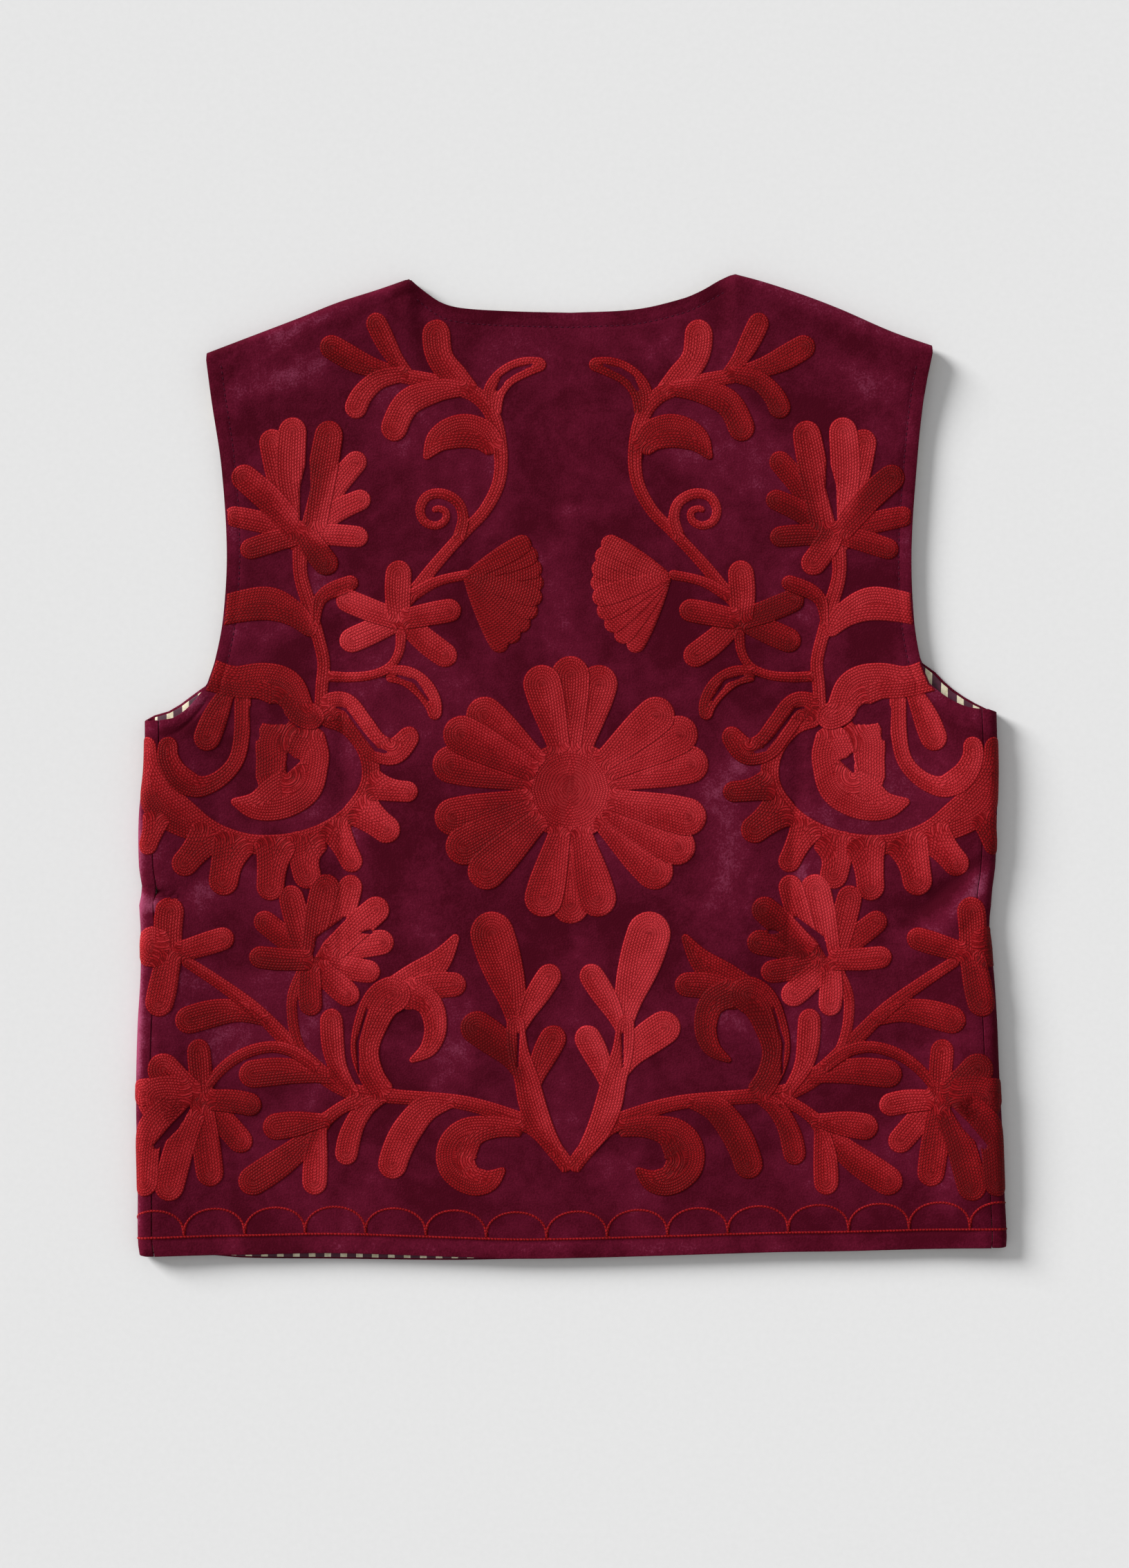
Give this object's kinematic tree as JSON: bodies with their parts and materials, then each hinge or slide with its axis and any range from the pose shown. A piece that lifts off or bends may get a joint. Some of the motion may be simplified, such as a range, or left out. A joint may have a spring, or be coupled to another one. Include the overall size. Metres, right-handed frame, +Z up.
{
  "type": "embroidered waistcoat",
  "caption": "Sleeveless hip-length velvet waistcoat with mirrored floral chain-stitch embroidery and striped lining, laid flat on its front with the back uppermost.",
  "frame": {"origin": "middle of the laid garment's outline, on the surface it lies on", "axes": "+Z up from the surface through the fronts to the back, +Y from hem to neck, +X towards the wearer's right"},
  "size_m": [0.5061, 0.5739, 0.0114],
  "materials": {
    "velvet": "plum cotton velvet, short dense pile with a soft nap sheen",
    "embroidery": "madder red wool chain stitch in close rows, slightly raised",
    "lining": "matt woven cotton in even cream and plum stripes"
  },
  "bodies": {
    "root": {"back": "velvet", "left_front": "velvet", "right_front": "velvet", "left_front_lining": "lining", "right_front_lining": "lining"}
  },
  "joints": []
}
